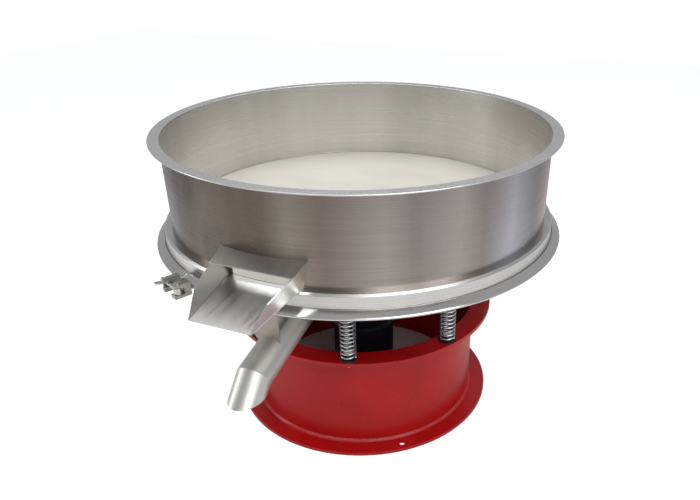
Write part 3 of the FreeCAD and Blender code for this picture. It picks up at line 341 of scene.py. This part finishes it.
seat_rubber = soft_part("seat_rubber", linear(24, 24, 26), 0.6)
gasket_rubber = soft_part("gasket_silicone", linear(225, 222, 214), 0.5)
gland_plastic = soft_part("gland_plastic", linear(30, 30, 32), 0.45)
# Painted highlight: the stud tips are coloured near white to stand in for their brightly lit ends.
stud_painted_highlight = soft_part("stud_tip_painted_highlight", linear(236, 230, 214), 0.5)
print("paint and hardware finishes ready")


# %% [markdown]
# ## Woven mesh
# The screen is a fine woven wire cloth. Its openings are far smaller than anything seen from a step away,
# so it reads as a pale even sheet: two crossed waves give the weave, and slow noise paints a faint sheen,
# lighter and darker streaks, into the colour.

# %% Mesh finish
mesh_cloth = Finish("woven_mesh", linear(214, 210, 200), 0.8, metallic=0.15)
warp = mesh_cloth.node("ShaderNodeTexWave", bands_direction="X")
weft = mesh_cloth.node("ShaderNodeTexWave", bands_direction="Y")
for wave in (warp, weft):
    mesh_cloth.link(mesh_cloth.place, wave.inputs["Vector"])
    wave.inputs["Scale"].default_value = 260.0
weave = mesh_cloth.maths("MULTIPLY", warp.outputs["Fac"], weft.outputs["Fac"])
# Painted sheen: slow streaks of lighter and darker colour across the cloth.
painted_sheen = mesh_cloth.noise(4.0, 4.0, mesh_cloth.stretched((1.0, 2.2, 1.0), turn=(0, 0, 0.6)))
CLOTH_PAINTED_SHEEN, CLOTH_PAINTED_SHADE = linear(192, 189, 181), linear(184, 181, 173)
cloth_tone = mesh_cloth.blend(mesh_cloth.range(painted_sheen, 0.0, 1.0, 0.35, 0.7), CLOTH_PAINTED_SHEEN, CLOTH_PAINTED_SHADE)
cloth_tone = mesh_cloth.blend(mesh_cloth.range(weave, 0.0, 0.25), cloth_tone, linear(160, 154, 142))
mesh_cloth.colour(cloth_tone)
mesh_cloth.bump(weave, 0.25, 0.0003)
print("mesh", len(mesh_cloth.tree.nodes), "nodes")

# %% [markdown]
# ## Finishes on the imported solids
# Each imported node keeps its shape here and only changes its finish. The pieces made later hide the few
# nodes that they stand for.

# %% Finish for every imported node
finishes = {
    "base_drum": red_paint, "base_floor_flange": red_paint, "base_spring_flange": red_paint,
    "spring_seats_lower": seat_rubber, "spring_seats_upper": seat_rubber,
    "seat_bolts_lower": stud_painted_highlight, "seat_nuts_lower": plated, "seat_bolts_upper": plated,
    "table_ring": table_paint, "motor_well": table_paint,
    "motor_plate": table_paint, "table_ribs": table_paint,
    "collecting_pan": steel_pan, "undersize_spout": steel_spout, "spout_end_cap": steel_spout,
    "spout_hanger_plate": steel_plate, "upper_rim": steel_rim, "sieve_wall": steel_outer,
    "frame_skirt": steel_ledge, "screen_frame": steel_frame, "screen_mesh": mesh_cloth,
    "screen_gasket": gasket_rubber, "clamp_ring": steel_clamp,
    "pivot_lug": cast_steel, "fork_lug": cast_steel,
    "pivot_pin": plated, "closure_bolt": plated, "closure_washer": plated, "wing_nut": cast_steel,
    "chute_floor": steel_tray, "chute_cover": steel_tray, "chute_cheek_right": steel_tray,
    "chute_cheek_left": steel_tray, "motor_housing": motor_paint, "upper_end_shield": motor_paint,
    "lower_end_shield": motor_paint, "upper_bearing": machined, "lower_bearing": machined,
    "motor_shaft": machined, "stator_core": core_steel, "rotor_core": core_steel, "upper_weight": weight_iron,
    "lower_weight": weight_iron, "lead_weight": weight_iron, "motor_bolts": plated, "motor_nuts": plated,
    "cable_gland": gland_plastic,
}
for index in range(1, 9):
    finishes["spring_%d" % index] = spring_wire
for node, finish in finishes.items():
    wear(node, finish)
print(len(finishes), "nodes finished of", len(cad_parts))


# %% [markdown]
# ## Round rolled parts
# A rolled part is a closed section turned once round the axis. The section needs only its corners; spin
# makes the rest, and a small bevel gives the soft bright edge that sheet has after polishing. A full turn
# is merged at its seam, and the faces are then made to point outwards.

# %% Helpers for new pieces
def finished(name, mesh, finish, body, replaced=(), bevel=0.0, segments=2):
    """Turn a bmesh into a smooth object that rides on a body."""
    bmesh.ops.recalc_face_normals(mesh, faces=mesh.faces)
    data = bpy.data.meshes.new(name)
    mesh.to_mesh(data)
    mesh.free()
    for face in data.polygons:
        face.use_smooth = True
    data.set_sharp_from_angle(angle=math.radians(35))
    thing = bpy.data.objects.new(name, data)
    bpy.context.scene.collection.objects.link(thing)
    data.materials.append(finish.material)
    if bevel:
        edge = thing.modifiers.new("soft_edges", "BEVEL")
        edge.width = bevel
        edge.segments = segments
        edge.limit_method = "ANGLE"
        edge.angle_limit = math.radians(30)
        edge.harden_normals = True
    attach(thing, body)
    if replaced:
        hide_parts(*replaced)
    return thing


def section(mesh, corners):
    """A closed section in the XZ plane, given by radius and height."""
    points = [mesh.verts.new((r, 0.0, z)) for r, z in corners]
    return points + [mesh.edges.new((a, b)) for a, b in zip(points, points[1:] + points[:1])]


def rolled(name, corners, finish, body, replaced=(), bevel=0.0006, steps=288, segments=2):
    """A section turned once round the machine's axis."""
    mesh = bmesh.new()
    bmesh.ops.spin(mesh, geom=section(mesh, corners), cent=(0, 0, 0), axis=(0, 0, 1),
                   angle=2 * math.pi, steps=steps, use_merge=True)
    bmesh.ops.remove_doubles(mesh, verts=mesh.verts, dist=1e-6)
    thing = finished(name, mesh, finish, body, replaced, bevel, segments)
    print(name, len(thing.data.polygons), "faces")
    return thing


# %% [markdown]
# ### Base
# The drum, its floor flange and its spring flange are separate sheets welded together. The drum is the
# large painted surface, so it is turned again in fine steps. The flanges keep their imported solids, because
# these have the bolt holes.

# %% Base drum and its weld beads
DRUM_R = radius("base_drum")
DRUM_WALL = 0.004
drum_foot, drum_top = low("base_drum").z, high("base_drum").z
rolled("drum_sheet", [(DRUM_R - DRUM_WALL, drum_foot), (DRUM_R, drum_foot), (DRUM_R, drum_top),
                      (DRUM_R - DRUM_WALL, drum_top)], red_paint, "base", ["base_drum"], bevel=0)


FILLET = ((0, 0), (1, 0), (0.72, 0.45), (0.40, 0.76), (0, 1))


def bead(name, corner_r, corner_z, out, up, finish, body, steps=360):
    """A fillet weld that runs round the axis in an inner corner."""
    corners = [(corner_r + across * out, corner_z + rise * up) for across, rise in FILLET]
    return rolled(name, corners, finish, body, bevel=0, steps=steps)


red_weld = paint("red_painted_weld", linear(178, 16, 22), 0.3, 0.4, linear(130, 10, 14))
ripple = red_weld.maths("SINE", red_weld.maths("MULTIPLY", red_weld.around(), 2 * math.pi * 420))
lumps = red_weld.maths("ADD", ripple, red_weld.noise(90.0, 2.0))
red_weld.bump(lumps, 0.5, 0.0012)
bead("drum_foot_weld", DRUM_R, drum_foot, 0.007, 0.007, red_weld, "base")
bead("drum_top_weld", DRUM_R, drum_top, 0.006, -0.006, red_weld, "base")

# %% [markdown]
# ### Springs
# Eight coil springs carry the sieve. A coil is a round wire section that spin turns and lifts at every
# step. The imported coils have square wire, so round ones stand for them.

# %% Coil springs
WIRE_R = 0.00265
COIL_MEAN_R = 0.01825
DEAD_TURNS = 0.75
LIVE_TURNS = 10
STEPS_PER_TURN = 28


def coil(number):
    """One spring on the axis of its packed coil, with a closed end turn at each end."""
    node = "spring_%d" % number
    foot, top = low(node), high(node)
    centre = (foot + top) / 2
    mesh = bmesh.new()
    ring = bmesh.ops.create_circle(mesh, cap_ends=False, segments=10, radius=WIRE_R)["verts"]
    bmesh.ops.rotate(mesh, verts=ring, cent=(0, 0, 0), matrix=Matrix.Rotation(math.pi / 2, 3, "X"))
    bmesh.ops.translate(mesh, verts=ring, vec=(centre.x + COIL_MEAN_R, centre.y, foot.z + WIRE_R))
    first = list(mesh.edges)
    dead_lift = DEAD_TURNS * WIRE_R * 2.0
    live_lift = (top.z - foot.z) - 2 * WIRE_R - 2 * dead_lift
    grown = first + list(ring)
    for turns, lift in ((DEAD_TURNS, dead_lift), (LIVE_TURNS, live_lift), (DEAD_TURNS, dead_lift)):
        steps = int(turns * STEPS_PER_TURN)
        grown = bmesh.ops.spin(mesh, geom=grown, cent=centre, axis=(0, 0, 1), dvec=(0, 0, lift / steps),
                               angle=2 * math.pi * turns, steps=steps)["geom_last"]
    last = [item for item in grown if isinstance(item, bmesh.types.BMEdge)]
    bmesh.ops.edgeloop_fill(mesh, edges=first)
    bmesh.ops.edgeloop_fill(mesh, edges=last)
    bmesh.ops.recalc_face_normals(mesh, faces=mesh.faces)
    data = bpy.data.meshes.new("coil_%d" % number)
    mesh.to_mesh(data)
    mesh.free()
    for face in data.polygons:
        face.use_smooth = True
    data.materials.append(spring_wire.material)
    thing = bpy.data.objects.new("coil_%d" % number, data)
    bpy.context.scene.collection.objects.link(thing)
    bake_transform(thing)
    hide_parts(node)
    return thing


for number in range(1, 9):
    made = coil(number)
print("coils", len(made.data.polygons), "faces each")

# %% [markdown]
# ### Sieve wall, rim, ledge and clamp ring
# The wall has a gate cut through it, which spin can't leave out, so the turned wall is cut with the four
# planes of the gate and the faces inside them are taken away. Its inner face has a finish of its own.

# %% Sieve wall
GATE_HALF, GATE_FOOT, GATE_TOP = 0.084, 0.5785, 0.628
mesh = bmesh.new()
wall_top = high("sieve_wall").z
corners = [(WALL_INNER_R, LEDGE), (WALL_R, LEDGE), (WALL_R, wall_top), (WALL_INNER_R, wall_top)]
bmesh.ops.spin(mesh, geom=section(mesh, corners), cent=(0, 0, 0), axis=(0, 0, 1), angle=2 * math.pi,
               steps=288, use_merge=True)
bmesh.ops.remove_doubles(mesh, verts=mesh.verts, dist=1e-6)
for point, normal in (((GATE_HALF, 0, 0), (1, 0, 0)), ((-GATE_HALF, 0, 0), (1, 0, 0)),
                      ((0, 0, GATE_FOOT), (0, 0, 1)), ((0, 0, GATE_TOP), (0, 0, 1))):
    near = [face for face in mesh.faces if face.calc_center_median().y < -0.40]
    near_edges = {edge for face in near for edge in face.edges}
    near_verts = {vert for face in near for vert in face.verts}
    parts = near + list(near_edges) + list(near_verts)
    bmesh.ops.bisect_plane(mesh, geom=parts, dist=1e-6, plane_co=point, plane_no=normal)
gate = [face for face in mesh.faces
        if abs(face.calc_center_median().x) < GATE_HALF and face.calc_center_median().y < -0.40
        and GATE_FOOT < face.calc_center_median().z < GATE_TOP and abs(face.normal.z) < 0.5]
bmesh.ops.delete(mesh, geom=gate, context="FACES")
loose = [edge for edge in mesh.edges if len(edge.link_faces) == 1]
bmesh.ops.bridge_loops(mesh, edges=loose)
bmesh.ops.recalc_face_normals(mesh, faces=mesh.faces)
wall = finished("wall_sheet", mesh, steel_outer, "sieve", ["sieve_wall"])
wall.data.materials.append(steel_inner.material)
inner_faces = 0
for face in wall.data.polygons:
    centre = face.center
    if math.hypot(centre.x, centre.y) < WALL_R - 0.0013 and abs(face.normal.z) < 0.5:
        face.material_index = 1
        inner_faces += 1
print("wall", len(wall.data.polygons), "faces,", inner_faces, "inside")

# %% Rim, ledge, skirt and clamp ring
rim_low, rim_high = low("upper_rim"), high("upper_rim")
rolled("rim_ring", [(WALL_INNER_R, rim_low.z), (rim_high.x, rim_low.z), (rim_high.x, rim_high.z),
                    (WALL_INNER_R, rim_high.z)], steel_rim, "sieve", ["upper_rim"], bevel=0.0009)

JOINT = (low("clamp_ring").z + high("clamp_ring").z) / 2
LIP_FOOT_R, LIP_R, LIP_SLOPE, LIP_SHEET, LIP_GAP = 0.522, 0.538, 0.4375, 0.0025, 0.003
LEDGE_R, SKIRT_R, SKIRT_TOP, SHEET = 0.514, 0.5195, LEDGE - 0.005, 0.0025
lip_run = (LIP_R - LIP_FOOT_R) * LIP_SLOPE
lip_foot = JOINT + LIP_GAP / 2
rolled("ledge_and_skirt", [
    (WALL_INNER_R, LEDGE), (LEDGE_R, LEDGE), (SKIRT_R, SKIRT_TOP),
    (LIP_FOOT_R, lip_foot + LIP_SHEET + lip_run), (LIP_R, lip_foot + LIP_SHEET), (LIP_R, lip_foot),
    (LIP_FOOT_R - SHEET, lip_foot + lip_run + SHEET * LIP_SLOPE),
    (SKIRT_R - SHEET, SKIRT_TOP - 0.0011), (LEDGE_R - 0.0011, LEDGE - SHEET), (WALL_INNER_R, LEDGE - SHEET)],
    steel_ledge, "sieve", ["frame_skirt"], bevel=0.0008)

NOSE_R, CLAMP_FOOT_R, CLAMP_SHEET, CLAMP_GAP_DEG, CLOSURE_DEG = 0.545, 0.524, 0.0028, 1.6, 245.3
lip = LIP_GAP / 2 + LIP_SHEET
wide = lip + (LIP_R - CLAMP_FOOT_R) * LIP_SLOPE
narrow = lip - 0.002 * LIP_SLOPE
inside = [(CLAMP_FOOT_R, wide), (LIP_R + 0.002, narrow), (NOSE_R - CLAMP_SHEET, LIP_GAP / 2)]
outside = [(NOSE_R, LIP_GAP / 2), (LIP_R + 0.002, narrow + CLAMP_SHEET), (CLAMP_FOOT_R, wide + CLAMP_SHEET)]
corners = [(r, JOINT + z) for r, z in inside] + [(r, JOINT - z) for r, z in reversed(inside)]
corners += [(r, JOINT - z) for r, z in reversed(outside)] + [(r, JOINT + z) for r, z in outside]
mesh = bmesh.new()
geom = section(mesh, corners)
start = math.radians(CLOSURE_DEG + CLAMP_GAP_DEG / 2)
bmesh.ops.rotate(mesh, verts=mesh.verts, cent=(0, 0, 0), matrix=Matrix.Rotation(start, 3, "Z"))
first = list(mesh.edges)
swept = math.radians(360 - CLAMP_GAP_DEG)
ends = bmesh.ops.spin(mesh, geom=geom, cent=(0, 0, 0), axis=(0, 0, 1), angle=swept, steps=288)["geom_last"]
bmesh.ops.edgeloop_fill(mesh, edges=first)
bmesh.ops.edgeloop_fill(mesh, edges=[item for item in ends if isinstance(item, bmesh.types.BMEdge)])
ring = finished("v_clamp_ring", mesh, steel_clamp, "sieve", ["clamp_ring"], bevel=0.0012,
                segments=3)
print("clamp ring", len(ring.data.polygons), "faces")

# %% [markdown]
# ### Spout end
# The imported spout's lower run stops square on its outer side, a little above the level outlet. A short
# piece of the same tube carries it on, and a level cut gives the mouth its round edge.

# %% Outer side of the spout's mouth
SPOUT_R, SPOUT_SHEET, SPOUT_DROP = 0.040, 0.002, math.radians(46.9)
TAIL_FROM, TAIL_TO, MITRE_REACH, MITRE_RISE = 0.0595, 0.095, 0.576, 0.0322
outlet = low("undersize_spout").z
mitre = Vector((0, -MITRE_REACH, outlet + MITRE_RISE))
along = Vector((0, -math.cos(SPOUT_DROP), -math.sin(SPOUT_DROP)))
mesh = bmesh.new()
corners = [(SPOUT_R - SPOUT_SHEET, TAIL_FROM), (SPOUT_R, TAIL_FROM), (SPOUT_R, TAIL_TO),
           (SPOUT_R - SPOUT_SHEET, TAIL_TO)]
bmesh.ops.spin(mesh, geom=section(mesh, corners), cent=(0, 0, 0), axis=(0, 0, 1), angle=2 * math.pi, steps=96,
               use_merge=True)
bmesh.ops.remove_doubles(mesh, verts=mesh.verts, dist=1e-6)
placed = Matrix.Translation(mitre) @ along.to_track_quat("Z", "X").to_matrix().to_4x4()
bmesh.ops.transform(mesh, matrix=placed, verts=mesh.verts)
bmesh.ops.bisect_plane(mesh, geom=mesh.verts[:] + mesh.edges[:] + mesh.faces[:], plane_co=(0, 0, outlet),
                       plane_no=(0, 0, -1), clear_outer=True)
bmesh.ops.holes_fill(mesh, edges=[edge for edge in mesh.edges if len(edge.link_faces) == 1])
open_edges = sum(len(edge.link_faces) != 2 for edge in mesh.edges)
tip = finished("spout_mouth_tip", mesh, steel_spout, "sieve")
print("spout tip", len(tip.data.polygons), "faces,", open_edges, "open edges")

# %% [markdown]
# ## Studio
# A pale floor under the machine, a large soft light from the front right, a weaker one from the left and
# one above. The world is white to the camera and grey in reflections. The floor glows to the camera only,
# and not inside the drum, so that the base stays dark within.

# %% Floor, lights and world
def light(name, place, target, size, power, colour=(1, 1, 1)):
    data = bpy.data.lights.new(name, "AREA")
    data.shape = "RECTANGLE"
    data.size, data.size_y = size
    data.energy = power
    data.color = colour
    thing = bpy.data.objects.new(name, data)
    thing.location = place
    thing.rotation_euler = (Vector(target) - Vector(place)).to_track_quat("-Z", "Y").to_euler()
    bpy.context.scene.collection.objects.link(thing)
    return thing


light("key_light", (1.9, -1.5, 2.3), (0, 0, 0.45), (2.4, 2.4), 58)
light("top_light", (-0.3, 0.6, 2.6), (0, 0, 0.6), (1.8, 1.8), 42)
light("left_light", (-2.2, -1.2, 1.3), (0, 0, 0.5), (0.7, 1.6), 16)

FLOOR_HALF, FLOOR_CLEARANCE, FLOOR_EDGE = 6.0, 0.0005, 0.02
GLOW_STRENGTH, GLOW_SHARE = 1.5, 0.54
WORLD_GREY, WORLD_WHITE = (0.42, 0.43, 0.45, 1), (1, 1, 1, 1)
mesh = bmesh.new()
bmesh.ops.create_grid(mesh, x_segments=1, y_segments=1, size=FLOOR_HALF)
bmesh.ops.translate(mesh, verts=mesh.verts, vec=(0, 0, FLOOR - FLOOR_CLEARANCE))
data = bpy.data.meshes.new("studio_floor")
mesh.to_mesh(data)
mesh.free()
floor = bpy.data.objects.new("studio_floor", data)
bpy.context.scene.collection.objects.link(floor)
floor_finish = Finish("studio_floor", (0.82, 0.82, 0.82, 1), 0.9)
output = floor_finish.tree.nodes["Material Output"]
glow = floor_finish.node("ShaderNodeEmission")
glow.inputs["Strength"].default_value = GLOW_STRENGTH
reach = floor_finish.node("ShaderNodeVectorMath", operation="LENGTH")
floor_finish.link(floor_finish.place, reach.inputs[0])
outside_drum = floor_finish.range(reach.outputs["Value"], 0.0, GLOW_SHARE, DRUM_R, DRUM_R + FLOOR_EDGE)
ray = floor_finish.node("ShaderNodeLightPath").outputs["Is Camera Ray"]
mix = floor_finish.node("ShaderNodeMixShader")
floor_finish.link(floor_finish.maths("MULTIPLY", ray, outside_drum), mix.inputs[0])
floor_finish.link(floor_finish.shader.outputs[0], mix.inputs[1])
floor_finish.link(glow.outputs[0], mix.inputs[2])
floor_finish.link(mix.outputs[0], output.inputs["Surface"])
data.materials.append(floor_finish.material)

world = bpy.data.worlds.new("studio")
bpy.context.scene.world = world
world.use_nodes = True
tree = world.node_tree
background = tree.nodes["Background"]
seen = tree.nodes.new("ShaderNodeLightPath")
either = tree.nodes.new("ShaderNodeMath")
either.operation = "MAXIMUM"
tree.links.new(seen.outputs["Is Camera Ray"], either.inputs[0])
tree.links.new(seen.outputs["Is Transmission Ray"], either.inputs[1])
sky = tree.nodes.new("ShaderNodeMix")
sky.data_type = "RGBA"
tree.links.new(either.outputs[0], sky.inputs[0])
sky.inputs[6].default_value = WORLD_GREY
sky.inputs[7].default_value = WORLD_WHITE
tree.links.new(sky.outputs[2], background.inputs["Color"])
print("studio ready")

# %% [markdown]
# ## Camera
# The view is from a little above the rim, to the right of the outlets, close enough to show the inside of
# the sieve and the base below it.

# %% Camera
CAMERA_PLACE = Vector((0.7495, -1.5855, 1.2596))
CAMERA_AHEAD = Vector((-0.3291, 0.8078, -0.489))
data = bpy.data.cameras.new("view")
data.sensor_width = 36.0
data.lens = 34.56
data.shift_x, data.shift_y = -0.0642, 0.0688
camera = bpy.data.objects.new("view", data)
camera.location = CAMERA_PLACE
camera.rotation_euler = CAMERA_AHEAD.to_track_quat("-Z", "Y").to_euler()
bpy.context.scene.collection.objects.link(camera)
bpy.context.scene.camera = camera
bpy.context.scene.view_settings.view_transform = "Standard"
print("camera at", tuple(CAMERA_PLACE))
